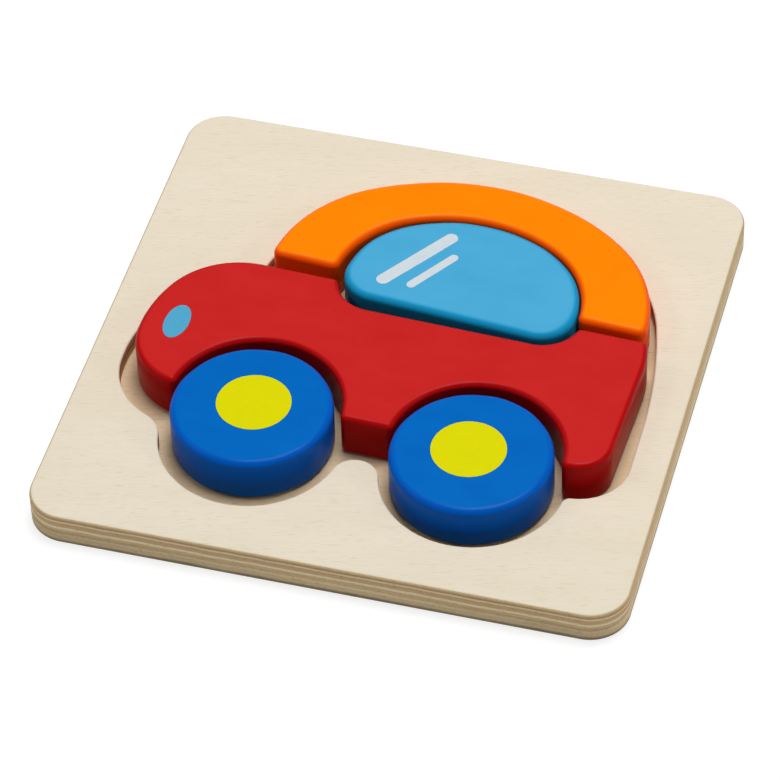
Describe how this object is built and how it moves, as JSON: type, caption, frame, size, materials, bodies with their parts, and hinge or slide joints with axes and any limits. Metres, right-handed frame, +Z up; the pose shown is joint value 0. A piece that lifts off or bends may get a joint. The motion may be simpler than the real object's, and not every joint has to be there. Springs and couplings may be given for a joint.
{
  "type": "wooden car puzzle",
  "caption": "Square plywood puzzle tray with a car-shaped recess holding thick painted wooden blocks: body, roof, window and wheels, each of which lifts straight out.",
  "frame": {"origin": "centre of the tray's underside", "axes": "+Z up out of the tray, +X towards the car's tail, +Y towards the car's roof"},
  "size_m": [0.18, 0.18, 0.02],
  "materials": {
    "backing": "sanded birch plywood",
    "frame": "sanded birch plywood, clear satin",
    "body_paint": "satin red paint on wood",
    "roof_paint": "satin orange paint on wood",
    "window_paint": "satin pale blue paint on wood",
    "wheel_paint": "satin blue paint on wood"
  },
  "bodies": {
    "tray": {"backing_board": "backing", "tray_frame": "frame"},
    "body_block": {"car_body": "body_paint"},
    "roof_block": {"roof": "roof_paint"},
    "window_block": {"window": "window_paint"},
    "front_wheel_block": {"front_wheel": "wheel_paint"},
    "rear_wheel_block": {"rear_wheel": "wheel_paint"}
  },
  "joints": [
    {"name": "body_lift", "type": "slide", "parent": "tray", "child": "body_block", "axis": [0, 0, 1], "range_m": [0, 0.04]},
    {"name": "roof_lift", "type": "slide", "parent": "tray", "child": "roof_block", "axis": [0, 0, 1], "range_m": [0, 0.04]},
    {"name": "window_lift", "type": "slide", "parent": "tray", "child": "window_block", "axis": [0, 0, 1], "range_m": [0, 0.04]},
    {"name": "front_wheel_lift", "type": "slide", "parent": "tray", "child": "front_wheel_block", "axis": [0, 0, 1], "range_m": [0, 0.04]},
    {"name": "rear_wheel_lift", "type": "slide", "parent": "tray", "child": "rear_wheel_block", "axis": [0, 0, 1], "range_m": [0, 0.04]}
  ]
}
